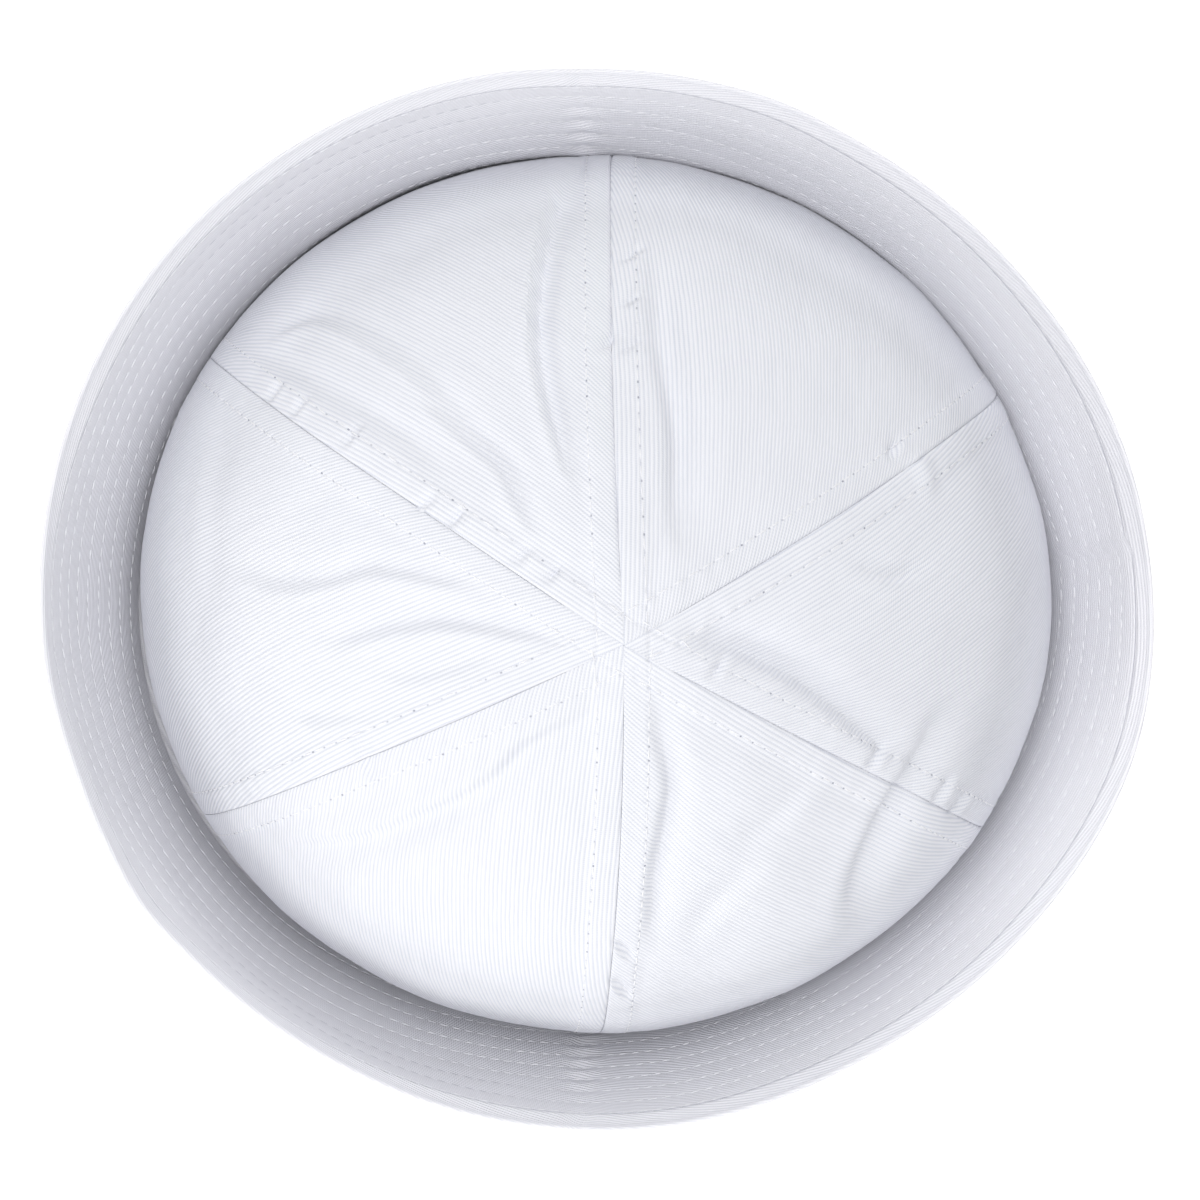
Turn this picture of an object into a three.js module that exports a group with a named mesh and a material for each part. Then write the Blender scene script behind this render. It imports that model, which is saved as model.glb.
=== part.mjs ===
// Cotton sailor hat standing on its turned-up brim, as it is put down on a table.
// Six shaped gores make the dome of the crown. The brim is two halves, each of an outer ply
// whose top edge rolls over as the hem, and a facing on the side towards the crown.
// Millimetres, +Z up. The origin is on the table, under the middle of the rim.
// +X is the right-hand side, -Y the front. Azimuths are degrees from +X towards +Y.
import * as THREE from 'three';

// ---------- Driving dimensions ----------
const CROWN_HEIGHT = 110;
const BRIM_HEIGHT = 64;
const APEX = { x: 5.6, y: -9.4 };          // where the six seams meet, seen from above
const DOME_RATIO = 0.9;                    // drop of the dome for each unit of its reach
const CROWN_TUCK = 1.4;                    // how far the crown draws in from its widest line to its base
const CLOTH = 1.1;                         // wall of one ply of heavy twill
const GAP = 0.3;                           // clearance between neighbouring pieces
const TIP = 1.2;                           // each gore stops this far from the apex

const BAND_WIDTH = 5.4;                    // from a seam line to its row of topstitching
const BAND_RISE = 0.7;                     // the seam allowances under it lift the cloth
const SEAM_DIP = 0.4;                      // the seam line itself is drawn down
const BAND_INSIDE = 0.8;                   // the allowances stand proud of the inner face

const ROW_PITCH = 7.3;                     // height between two rows of stitching on the brim
const HEM_WIDTH = 5.7;                     // height of the rolled hem above the first row
const PUFF = 0.4;                          // the plies swell between two rows
const ROW_DIP = 0.15;                      // and are drawn in along a row
const FOOT_WIDTH = 1.3;                    // flat fold that the brim stands on, outside the crown
const LIP_HEIGHT = 9;                      // seam allowance turned up inside the crown
const FACING_LOW = 2.6;                    // height at which the facing starts
const OUTER_LOW = 1.3;                     // height at which the outer ply leaves its foot
const HEM_BOTTOM = BRIM_HEIGHT - HEM_WIDTH;
const HALF_WALL = CLOTH + GAP / 2;         // from the middle of the brim's wall to either face
const BACKING_HEIGHTS = [46, 32, 18, 10, 6, FACING_LOW];   // where the plies' hidden faces bend

// Outlines from above: radius of the rim and of the crown's widest line, every 20 degrees.
const OUTLINES = [
  { azimuth: 0, rim: 120.6, crown: 100.6 },
  { azimuth: 20, rim: 118.0, crown: 99.9 },
  { azimuth: 40, rim: 115.1, crown: 99.0 },
  { azimuth: 60, rim: 114.0, crown: 98.9 },
  { azimuth: 80, rim: 114.6, crown: 98.7 },
  { azimuth: 100, rim: 115.9, crown: 99.0 },
  { azimuth: 120, rim: 117.5, crown: 100.1 },
  { azimuth: 140, rim: 119.3, crown: 101.0 },
  { azimuth: 160, rim: 120.2, crown: 101.6 },
  { azimuth: 180, rim: 120.1, crown: 101.2 },
  { azimuth: 200, rim: 119.1, crown: 99.6 },
  { azimuth: 220, rim: 116.9, crown: 97.9 },
  { azimuth: 240, rim: 114.8, crown: 96.6 },
  { azimuth: 260, rim: 114.5, crown: 95.2 },
  { azimuth: 280, rim: 114.8, crown: 94.4 },
  { azimuth: 300, rim: 114.8, crown: 94.8 },
  { azimuth: 320, rim: 117.0, crown: 96.5 },
  { azimuth: 340, rim: 120.2, crown: 99.1 },
];

// How the brim flares from its base (0) to its rim (1) at each height, on four sides.
const FLARE = [
  { height: 62.9, right: 1.0, back: 1.0, left: 1.0, front: 1.0 },
  { height: 58, right: 0.935, back: 0.97, left: 0.985, front: 0.965 },
  { height: 51, right: 0.79, back: 0.78, left: 0.89, front: 0.865 },
  { height: 44, right: 0.695, back: 0.66, left: 0.8, front: 0.766 },
  { height: 36, right: 0.57, back: 0.54, left: 0.715, front: 0.665 },
  { height: 28, right: 0.46, back: 0.4, left: 0.625, front: 0.57 },
  { height: 21, right: 0.385, back: 0.3, left: 0.54, front: 0.455 },
  { height: 14, right: 0.3, back: 0.22, left: 0.44, front: 0.35 },
  { height: 6, right: 0.18, back: 0.12, left: 0.31, front: 0.21 },
  { height: 1.1, right: 0.0, back: 0.0, left: 0.0, front: 0.0 },
];

// The six seams: where each ends on the crown's outline, how far it swings by the apex,
// and the gore that lies between it and the next seam.
const SEAMS = [
  { azimuth: 27.5, swing: -4.0, gore: 'crown_gore_back_right' },
  { azimuth: 87.8, swing: 2.5, gore: 'crown_gore_back_left' },
  { azimuth: 147.9, swing: 1.5, gore: 'crown_gore_left' },
  { azimuth: 208.4, swing: 3.0, gore: 'crown_gore_front_left' },
  { azimuth: 270.1, swing: 3.5, gore: 'crown_gore_front_right' },
  { azimuth: 329.6, swing: -1.0, gore: 'crown_gore_right' },
];

// Main folds of the crown: start, middle and end from above, depth of the dent, half width
// and the height of the lip raised on the left-hand side of the way it runs.
const FOLDS = [
  { x1: -8, y1: 88, x2: -14, y2: 67, x3: -11, y3: 42, depth: 3.0, half: 4.5, lip: 1.2 },
  { x1: -33, y1: 42, x2: -20, y2: 29, x3: -12, y3: 15, depth: 1.6, half: 4.5, lip: 0.6 },
  { x1: -72, y1: 56, x2: -57, y2: 46, x3: -42, y3: 34, depth: 2.2, half: 4.5, lip: 0.8 },
  { x1: -73, y1: 6, x2: -54, y2: 6, x3: -34, y3: 7, depth: 1.6, half: 5.0, lip: 0.6 },
  { x1: -42, y1: -4, x2: -28, y2: -3, x3: -13, y3: -6, depth: 1.2, half: 4.5, lip: 0.5 },
  { x1: -40, y1: -48, x2: -23, y2: -37, x3: -2, y3: -25, depth: 1.6, half: 5.0, lip: 0.6 },
  { x1: 13, y1: -27, x2: 15, y2: -43, x3: 13, y3: -66, depth: 2.4, half: 5.0, lip: 1.0 },
  { x1: 66, y1: -30, x2: 62, y2: -42, x3: 53, y3: -62, depth: 3.0, half: 5.5, lip: 1.2 },
  { x1: 24, y1: -8, x2: 42, y2: -14, x3: 57, y3: -27, depth: 1.6, half: 5.0, lip: 0.6 },
  { x1: 14, y1: 72, x2: 18, y2: 41, x3: 17, y3: 17, depth: 1.4, half: 6.5, lip: 0.4 },
];

// The brim's halves are joined at the back and the front, and the cloth gathers there.
const BRIM_HALVES = [
  { name: 'left', from: 92, to: 269 },
  { name: 'right', from: 269, to: 452 },
];
const GATHER = { depth: 0.9, wave: 3.2, reach: 3.4 };   // millimetres, degrees, degrees

const GORE_CELLS_ACROSS = 7;               // between the two bands of a gore
const DOME_ROWS = 15;
const WALL_ROWS = 3;
const BRIM_STEPS = 18;                     // even steps round one half, without those by its ends
const END_STEPS = [0, 1.0, 2.2, 3.8, 6.0]; // degrees from a join

// ---------- Curves ----------
const radians = (degrees) => THREE.MathUtils.degToRad(degrees);

// Smooth closed curve through a column of OUTLINES.
function outline(column, azimuth) {
  const count = OUTLINES.length;
  const place = THREE.MathUtils.euclideanModulo(azimuth, 360) / (360 / count);
  const first = Math.floor(place);
  const t = place - first;
  const [a, b, c, d] = [-1, 0, 1, 2].map((k) => OUTLINES[(first + k + count) % count][column]);
  return b + 0.5 * t * (c - a + t * (2 * a - 5 * b + 4 * c - d + t * (3 * (b - c) + d - a)));
}

// Radius of the crown's outer face where it meets the brim.
const crownBase = (azimuth) => outline('crown', azimuth) - CROWN_TUCK;

// Share of the flare at any height on one side: a smooth curve through a column of FLARE.
const rising = [...FLARE].reverse();
const column = (name) => rising.map((row) => row[name]);
const flares = {};
for (const side of ['right', 'back', 'left', 'front']) {
  flares[side] = new THREE.CubicInterpolant(column('height'), column(side), 1, [0]);
}
const flareOn = (side, height) => flares[side].evaluate(height)[0];

// Radius of the middle of the brim's wall. The four sides fade into each other.
function brimRadius(azimuth, height) {
  const [c, s] = [Math.cos(radians(azimuth)), Math.sin(radians(azimuth))];
  const share = flareOn(c > 0 ? 'right' : 'left', height) * c * c
    + flareOn(s > 0 ? 'back' : 'front', height) * s * s;
  const base = crownBase(azimuth) + GAP + HALF_WALL;
  const rim = outline('rim', azimuth) - HALF_WALL;
  return THREE.MathUtils.lerp(base, rim, share);
}

// ---------- Crown ----------
// A point of the smooth dome. azimuth names a point of the crown's outline, and share runs
// from the apex (0) over the shoulder (1) and down the wall to the base (2).
function domePoint(azimuth, share) {
  const reach = outline('crown', azimuth) - (share > 1 ? CROWN_TUCK * (share - 1) ** 2 : 0);
  const edge = new THREE.Vector2(Math.cos(radians(azimuth)), Math.sin(radians(azimuth)));
  edge.multiplyScalar(reach).sub(APEX);
  const shoulder = CROWN_HEIGHT - DOME_RATIO * edge.length();
  const angle = Math.min(share, 1) * Math.PI / 2;
  const plan = edge.multiplyScalar(Math.sin(angle)).add(APEX);
  const low = CLOTH + GAP;
  const z = share > 1
    ? THREE.MathUtils.lerp(shoulder, low, share - 1)
    : shoulder + (CROWN_HEIGHT - shoulder) * Math.cos(angle);
  return new THREE.Vector3(plan.x, plan.y, z);
}

function domeNormal(azimuth, share) {
  const [turn, slide] = [2, 0.02];
  const inner = Math.min(Math.max(share, 0.03), 2 - slide);
  const across = domePoint(azimuth + turn, inner).sub(domePoint(azimuth - turn, inner));
  const down = domePoint(azimuth, inner + slide).sub(domePoint(azimuth, inner - slide));
  return down.cross(across).normalize();
}

const bump = (distance, half) => Math.exp(-((distance / half) ** 2));

// Height of the folds at a place seen from above.
function foldHeight(x, y) {
  let height = 0;
  for (const fold of FOLDS) {
    const legs = [[fold.x1, fold.y1, fold.x2, fold.y2], [fold.x2, fold.y2, fold.x3, fold.y3]];
    let nearest = { distance: Infinity };
    legs.forEach(([ax, ay, bx, by], leg) => {
      const [dx, dy] = [bx - ax, by - ay];
      const length = Math.hypot(dx, dy);
      const along = THREE.MathUtils.clamp(((x - ax) * dx + (y - ay) * dy) / length ** 2, 0, 1);
      const distance = Math.hypot(x - ax - along * dx, y - ay - along * dy);
      const side = (dx * (y - ay) - dy * (x - ax)) / length;
      if (distance < nearest.distance) nearest = { distance, side, along: (leg + along) / 2 };
    });
    const fade = Math.sin(Math.PI * (0.12 + 0.76 * nearest.along));
    height -= fold.depth * fade * bump(nearest.distance, fold.half);
    const lip = nearest.side > 0 ? nearest.distance - 1.8 * fold.half : 9 * fold.half;
    height += fold.lip * fade * bump(lip, fold.half);
  }
  return height;
}

// Lift of the cloth over a seam's allowances, by its distance from the seam line.
const bandShape = (distance) => bump(distance - BAND_WIDTH / 2, BAND_WIDTH / 2.4);
const seamLift = (distance) => BAND_RISE * bandShape(distance) - SEAM_DIP * bump(distance, 1);

function seamAzimuth(seam, share) {
  return seam.azimuth + seam.swing * (1 - Math.min(share, 1));
}

// One gore: a curved wall between two seams, thicker under the bands beside them.
function goreGeometry(index) {
  const seam = SEAMS[index];
  const next = SEAMS[(index + 1) % SEAMS.length];
  const shares = [];
  const span = domePoint(seam.azimuth, 1).sub(domePoint(seam.azimuth, 0)).setZ(0).length();
  const first = Math.asin(TIP / span) / (Math.PI / 2);
  for (let k = 0; k <= DOME_ROWS; k += 1) shares.push(first + (1 - first) * (k / DOME_ROWS) ** 0.9);
  for (let k = 1; k <= WALL_ROWS; k += 1) shares.push(1 + k / WALL_ROWS);

  const outer = [];
  const inner = [];
  for (const share of shares) {
    const start = seamAzimuth(seam, share);
    const turn = THREE.MathUtils.euclideanModulo(seamAzimuth(next, share) - start, 360);
    const width = domePoint(start, share).distanceTo(domePoint(start + turn, share));
    const edge = Math.min(1, width / (4 * BAND_WIDTH));
    const near = [GAP / 2, BAND_WIDTH * 0.5 * edge, BAND_WIDTH * 1.2 * edge].map((d) => d / width);
    const fractions = [...near];
    for (let k = 1; k < GORE_CELLS_ACROSS; k += 1) {
      fractions.push(THREE.MathUtils.lerp(near[2], 1 - near[2], k / GORE_CELLS_ACROSS));
    }
    fractions.push(...near.map((fraction) => 1 - fraction).reverse());

    const outerRow = [];
    const innerRow = [];
    for (const fraction of fractions) {
      const azimuth = start + fraction * turn;
      const point = domePoint(azimuth, share);
      const normal = domeNormal(azimuth, share);
      const distance = width * Math.min(fraction, 1 - fraction);
      const calm = THREE.MathUtils.smoothstep(point.z, LIP_HEIGHT + 2, LIP_HEIGHT + 12);
      const lift = seamLift(distance) + foldHeight(point.x, point.y);
      const depth = CLOTH + BAND_INSIDE * bandShape(distance) * calm;
      outerRow.push(point.clone().addScaledVector(normal, lift * calm));
      innerRow.push(point.clone().addScaledVector(normal, lift * calm - depth));
    }
    outer.push(outerRow);
    inner.push(innerRow);
  }
  // The bottom edge is cut level, above the fold that carries it.
  const last = inner.length - 1;
  for (const row of [outer[last], inner[last]]) for (const point of row) point.z = CLOTH + GAP;
  return wallGeometry(outer, inner);
}

// ---------- Brim ----------
// The plies swell between the rows of stitching, and gather beside the brim's two joins.
function quilt(height) {
  const rows = (HEM_BOTTOM - height) / ROW_PITCH;
  const between = Math.abs(Math.sin(Math.PI * rows));
  return PUFF * between - ROW_DIP * (1 - between);
}

function gather(azimuth, height) {
  let push = 0;
  for (const half of BRIM_HALVES) {
    const away = Math.abs(THREE.MathUtils.euclideanModulo(azimuth - half.from + 180, 360) - 180);
    const tuck = Math.cos(2 * Math.PI * away / GATHER.wave) * Math.exp(-away / GATHER.reach);
    push -= GATHER.depth * tuck * Math.sin(Math.PI * Math.min(Math.max(height / BRIM_HEIGHT, 0), 1));
  }
  return push;
}

// A point beside the middle of the brim's wall, as radius and height.
function brimPoint(azimuth, height, offset) {
  const slope = (brimRadius(azimuth, height + 1) - brimRadius(azimuth, height - 1)) / 2;
  const size = Math.hypot(1, slope);
  const radius = brimRadius(azimuth, height) + gather(azimuth, height);
  return [radius + offset / size, height - offset * slope / size];
}

// Heights from the first row of stitching down to low, at each row and midway between rows.
function quiltHeights(low) {
  const heights = [];
  for (let height = HEM_BOTTOM; height > low; height -= ROW_PITCH / 2) heights.push(height);
  return heights;
}

// Closed outline of the outer ply: outside, over the rim, behind the facing, down to the
// foot and up the lip inside the crown.
function outerPlySection(azimuth) {
  const section = [];
  const at = (height, offset) => section.push(brimPoint(azimuth, height, offset));
  const rimHeight = BRIM_HEIGHT - HALF_WALL;
  const outside = [OUTER_LOW, ...quiltHeights(5).reverse()];
  for (const height of outside) at(height, HALF_WALL + (height > OUTER_LOW ? quilt(height) : 0));
  for (const turn of [0, 45, 90, 135, 180]) {
    const [radius, height] = brimPoint(azimuth, rimHeight, HALF_WALL * Math.cos(radians(turn)));
    section.push([radius, height + HALF_WALL * Math.sin(radians(turn))]);
  }
  at(HEM_BOTTOM + HEM_WIDTH / 3, -HALF_WALL - PUFF / 2);
  at(HEM_BOTTOM + GAP, -HALF_WALL);
  at(HEM_BOTTOM + GAP, GAP / 2);
  for (const height of BACKING_HEIGHTS) at(height, GAP / 2);
  const base = crownBase(azimuth);
  const lip = base - CLOTH - GAP;
  section.push([base + GAP, CLOTH]);
  section.push([lip, CLOTH], [lip, LIP_HEIGHT], [lip - CLOTH, LIP_HEIGHT], [lip - CLOTH, 0]);
  section.push([base + FOOT_WIDTH, 0]);
  return section;
}

// Closed outline of the facing: the side towards the crown, quilted, and its hidden back.
function facingSection(azimuth) {
  const section = [];
  const at = (height, offset) => section.push(brimPoint(azimuth, height, offset));
  for (const height of quiltHeights(5)) at(height, -HALF_WALL - quilt(height));
  at(FACING_LOW, -HALF_WALL);
  for (const height of [...BACKING_HEIGHTS].reverse()) at(height, -GAP / 2);
  at(HEM_BOTTOM, -GAP / 2);
  return section;
}

function brimGeometry(half, sectionAt) {
  const clear = THREE.MathUtils.radToDeg(GAP / 2 / 100);
  const [from, to] = [half.from + clear, half.to - clear];
  const azimuths = END_STEPS.map((step) => from + step);
  const [low, high] = [from + END_STEPS.at(-1), to - END_STEPS.at(-1)];
  for (let k = 1; k < BRIM_STEPS; k += 1) azimuths.push(THREE.MathUtils.lerp(low, high, k / BRIM_STEPS));
  azimuths.push(...END_STEPS.map((step) => to - step).reverse());
  return sweptGeometry(azimuths.map((azimuth) => {
    const [c, s] = [Math.cos(radians(azimuth)), Math.sin(radians(azimuth))];
    return sectionAt(azimuth).map(([radius, z]) => new THREE.Vector3(radius * c, radius * s, z));
  }), sectionAt(from));
}

// ---------- Closed meshes ----------
function indexedGeometry(points, triangles) {
  const geometry = new THREE.BufferGeometry().setFromPoints(points);
  geometry.setIndex(triangles);
  geometry.computeVertexNormals();
  return geometry;
}

// A wall between two matching grids of points, closed along its four edges.
function wallGeometry(outer, inner) {
  const rows = outer.length;
  const columns = outer[0].length;
  const points = [...outer.flat(), ...inner.flat()];
  const triangles = [];
  const front = (row, column) => row * columns + column;
  const back = (row, column) => rows * columns + front(row, column);
  const quad = (a, b, c, d) => triangles.push(a, b, c, a, c, d);
  for (let r = 0; r + 1 < rows; r += 1) {
    for (let c = 0; c + 1 < columns; c += 1) {
      quad(front(r, c), front(r + 1, c), front(r + 1, c + 1), front(r, c + 1));
      quad(back(r, c), back(r, c + 1), back(r + 1, c + 1), back(r + 1, c));
    }
    const end = columns - 1;
    quad(front(r, 0), back(r, 0), back(r + 1, 0), front(r + 1, 0));
    quad(front(r, end), front(r + 1, end), back(r + 1, end), back(r, end));
  }
  for (let c = 0; c + 1 < columns; c += 1) {
    const end = rows - 1;
    quad(front(0, c), front(0, c + 1), back(0, c + 1), back(0, c));
    quad(front(end, c), back(end, c), back(end, c + 1), front(end, c + 1));
  }
  return indexedGeometry(points, triangles);
}

// A closed section carried round the hat, with a flat cap at each end.
function sweptGeometry(sections, flatSection) {
  const count = flatSection.length;
  const triangles = [];
  for (let k = 0; k + 1 < sections.length; k += 1) {
    for (let p = 0; p < count; p += 1) {
      const q = (p + 1) % count;
      const [a, b] = [k * count + p, k * count + q];
      triangles.push(a, a + count, b + count, a, b + count, b);
    }
  }
  const contour = flatSection.map(([radius, z]) => new THREE.Vector2(radius, z));
  const last = (sections.length - 1) * count;
  for (const [a, b, c] of THREE.ShapeUtils.triangulateShape(contour, [])) {
    triangles.push(a, b, c, last + a, last + c, last + b);
  }
  return indexedGeometry(sections.flat(), triangles);
}

// ---------- The hat ----------
const crownCloth = new THREE.MeshStandardMaterial({ color: 0xf2eff6, roughness: 0.9, metalness: 0 });
const brimCloth = new THREE.MeshStandardMaterial({ color: 0xe9e7f0, roughness: 0.9, metalness: 0 });

const hat = new THREE.Group();

function addPiece(name, geometry, material) {
  const piece = new THREE.Mesh(geometry, material);
  piece.name = name;
  hat.add(piece);
}

SEAMS.forEach((seam, index) => addPiece(seam.gore, goreGeometry(index), crownCloth));
for (const half of BRIM_HALVES) {
  addPiece(`brim_outer_${half.name}`, brimGeometry(half, outerPlySection), brimCloth);
  addPiece(`brim_facing_${half.name}`, brimGeometry(half, facingSection), brimCloth);
}

export default hat;
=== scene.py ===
from math import hypot, pi, radians, tau

import bpy
import numpy as np
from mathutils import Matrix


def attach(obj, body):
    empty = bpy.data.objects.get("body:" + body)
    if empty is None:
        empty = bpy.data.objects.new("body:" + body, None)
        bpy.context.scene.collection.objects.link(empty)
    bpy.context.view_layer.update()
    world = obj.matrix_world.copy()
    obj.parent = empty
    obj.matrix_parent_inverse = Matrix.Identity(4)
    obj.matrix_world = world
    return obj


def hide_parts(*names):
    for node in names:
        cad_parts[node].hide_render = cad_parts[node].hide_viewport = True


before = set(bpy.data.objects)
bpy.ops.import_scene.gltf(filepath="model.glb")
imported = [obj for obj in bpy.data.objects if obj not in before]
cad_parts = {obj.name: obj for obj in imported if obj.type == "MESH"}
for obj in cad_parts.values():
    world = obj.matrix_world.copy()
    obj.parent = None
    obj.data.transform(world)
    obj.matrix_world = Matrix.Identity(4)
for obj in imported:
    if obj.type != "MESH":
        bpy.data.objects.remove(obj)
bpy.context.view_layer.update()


# ---------- The crown's six gores ----------
# Shaped panels of white cotton twill, sewn edge to edge into a dome. Their seam allowances are
# pressed open and stitched down, so a raised band runs along each seam, and the soft cloth
# between the bands keeps the creases it was stored with. Millimetres and degrees.
MM = 0.001
CROWN_HEIGHT = 110.0
APEX = (5.6, -9.4)                 # where the six seams meet, seen from above
DOME_RATIO = 0.9                   # drop of the dome for each unit of its reach
CROWN_TUCK = 1.4                   # drawn in from the widest line to the base
CROWN_LOW = 1.4                    # height of the cut edge, inside the brim's fold
PLY = 0.9                          # thickness of the twill
TIP = 0.08                         # distance of a gore's tip from the apex
SLIT = 0.06                        # half the gap between two gores at their seam
OUTLINE_STEP = 20.0
CROWN_RADII = (100.6, 99.9, 99.4, 99.2, 99.2, 99.6, 100.7, 101.9, 102.5,
               102.0, 100.2, 98.5, 96.2, 95.3, 95.3, 95.8, 97.5, 99.6)

SEAMS = (
    dict(azimuth=27.5, swing=-4.0, open=0.9, gore="crown_gore_back_right"),
    dict(azimuth=87.8, swing=2.5, open=1.0, gore="crown_gore_back_left"),
    dict(azimuth=147.9, swing=1.5, open=0.7, gore="crown_gore_left"),
    dict(azimuth=208.4, swing=3.0, open=0.3, gore="crown_gore_front_left"),
    dict(azimuth=270.1, swing=3.5, open=0.6, gore="crown_gore_front_right"),
    dict(azimuth=329.6, swing=-1.0, open=1.0, gore="crown_gore_right"),
)
BAND = 5.4                         # from a seam line to its row of topstitching
BAND_RISE = 0.4
SEAM_DIP = 0.12
EDGE_ROLL = 0.45                   # the edge of a gore turns down into the seam
BAND_CALM, BAND_FREE = 0.4, 1.3    # a band's rise fades from inside its row to outside it
ROW_GROOVE = 0.16
ROW_HOLLOW = 0.12                  # shallow hollow in the cloth beside a row,
HOLLOW_AT = 2.2                    # this far outside it
RIPPLE = 0.1                       # small waves that the thread draws into a band
RIPPLE_AT = 4.0
NEEDLE_DEPTH = 0.2
STITCH_LENGTH = 3.43
HOLE_WIDTH = 0.24                  # from a row to the edge of a needle hole
HOLE_SHARE = 0.085                 # the same along the row, as a share of a stitch
# How much shade is painted into each needle hole of the crown's rows.
HOLE_SHADE = 0.95
STITCHES_TO_SHOULDER = 44          # counted from the apex
STITCHES_ON_WALL = 5.5
ROWS_IN_STITCH = 4
FLAT_BELOW, CREASED_ABOVE = 11.0, 21.0   # heights between which the relief fades towards the base

# Creases: the line that each follows from above, its depth, its half width on the gentle
# side, the share of that on the steep side, and the lip pushed up beside it.
CREASES = (
    dict(line=((-8, 89), (-11, 76), (-12.5, 61), (-11, 46), (-6, 28)),
         depth=2.3, half=3.2, steep=0.4, lip=0.8),
    dict(line=((-35, 42), (-26, 34), (-19, 27), (-14, 16)), depth=1.3, half=3.0, steep=0.45, lip=0.4),
    dict(line=((-70, 58), (-60, 61), (-47, 55), (-28, 40)), depth=1.1, half=2.6, steep=0.5, lip=0.5),
    dict(line=((-73, 54), (-57, 44), (-41, 34), (-35, 29)), depth=1.2, half=3.4, steep=0.5, lip=0.2),
    dict(line=((-76, 7), (-67, 4), (-56, 5), (-46, 7), (-29, 4)), depth=1.1, half=3.2, steep=0.5, lip=0.4),
    dict(line=((-56, -8), (-43, -5), (-31, -4), (-10, -7)), depth=1.2, half=3.6, steep=0.5, lip=0.4),
    dict(line=((-63, -23), (-59, -25), (-48, -24)), depth=0.7, half=2.6, steep=0.5, lip=0.3),
    dict(line=((-45, -15), (-35, -15), (-22, -11)), depth=0.6, half=3.2, steep=0.6, lip=0.2),
    dict(line=((0, -24), (-14, -31), (-24, -40), (-48, -51), (-64, -53)),
         depth=1.5, half=3.8, steep=0.5, lip=0.5),
    dict(line=((13, -27), (15.5, -38), (14.5, -48), (12.5, -58), (12, -70)),
         depth=1.8, half=3.4, steep=0.45, lip=0.4),
    dict(line=((20, -72), (26, -63), (33, -57)), depth=0.7, half=3.4, steep=0.7, lip=0.2),
    dict(line=((30, -50), (38, -45), (44, -38)), depth=0.6, half=3.4, steep=0.7, lip=0.2),
    dict(line=((73, -26), (69, -35), (64, -43), (58.5, -56), (55, -66)),
         depth=2.7, half=4.0, steep=0.75, lip=0.5),
    dict(line=((13, 72), (14, 55), (17, 36), (17, 16)), depth=2.6, half=5.0, steep=0.5, lip=0.3),
    dict(line=((22, -8), (32, -11), (45, -18), (62, -32)), depth=2.8, half=4.4, steep=0.45, lip=0.3),
    dict(line=((55, 7), (63, 5), (69, 7)), depth=1.1, half=2.8, steep=0.5, lip=0.3),
    dict(line=((67, 31), (69, 27), (71, 22)), depth=-0.9, half=2.2, steep=0.9, lip=0.0),
    dict(line=((-51, -27), (-49, -32), (-47, -38)), depth=0.8, half=1.8, steep=0.6, lip=0.3),
    dict(line=((-2.2, 97.5), (-2.5, 95), (-3, 92)), depth=0.6, half=0.9, steep=0.8, lip=0.2),
    dict(line=((-82, 39), (-82, 22), (-83, 0)), depth=0.35, half=3.0, steep=0.8, lip=0.2),
)
# Puckers across the bands, from one end to the other, where the topstitching drew the cloth in.
PUCKERS = (
    ((5.5, 72), (10, 76)), ((5.5, 62), (10, 66)), ((5, 52), (9.5, 56)), ((1, 53), (4, 56)),
    ((-37.5, 18.5), (-34, 22)), ((-31, 15.5), (-27.5, 19)), ((-17, 8), (-14, 11)),
    ((-10.5, 4), (-7.5, 7)), ((-71, 43), (-68, 47)), ((-65, 39.5), (-62, 43.5)),
    ((-53, 32.5), (-50, 37)), ((24, -16), (27, -12)), ((57, -35), (61, -31)),
    ((72, -43.5), (76, -38)), ((4, -72), (7.5, -76)), ((3.5, -81), (7, -85)),
    ((62, 30), (64, 34)), ((76, -46), (80, -42)),
)
PUCKER = dict(depth=1.4, half=1.1, steep=0.8, lip=0.42)
CREASE_DEPTH = 1.4                 # all the creases are this much deeper than listed
# Long soft swells of the slack cloth, as waves over the crown.
SWELLS = (
    dict(length=41.0, heading=24.0, height=0.32, start=0.4),
    dict(length=29.0, heading=118.0, height=0.22, start=2.1),
    dict(length=19.0, heading=71.0, height=0.12, start=4.0),
    dict(length=14.0, heading=160.0, height=0.08, start=1.2),
)


def closed_curve(column, azimuth):
    """Smooth closed curve through radii given every OUTLINE_STEP degrees."""
    radii = np.array(column)
    place = np.mod(azimuth, 360.0) / OUTLINE_STEP
    first = np.floor(place).astype(int)
    t = place - first
    a, b, c, d = (radii[(first + k) % len(radii)] for k in (-1, 0, 1, 2))
    return b + 0.5 * t * (c - a + t * (2 * a - 5 * b + 4 * c - d + t * (3 * (b - c) + d - a)))


def smoothstep(value, low, high):
    t = np.clip((value - low) / (high - low), 0.0, 1.0)
    return t * t * (3 - 2 * t)


def bump(distance, half):
    return np.exp(-(distance / half) ** 2)


def crown_edge(azimuth, tuck=0.0):
    """The crown's widest line, as a vector from the apex, seen from above."""
    reach = closed_curve(CROWN_RADII, azimuth) - tuck
    turn = np.radians(azimuth)
    return reach * np.cos(turn) - APEX[0], reach * np.sin(turn) - APEX[1]


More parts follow.
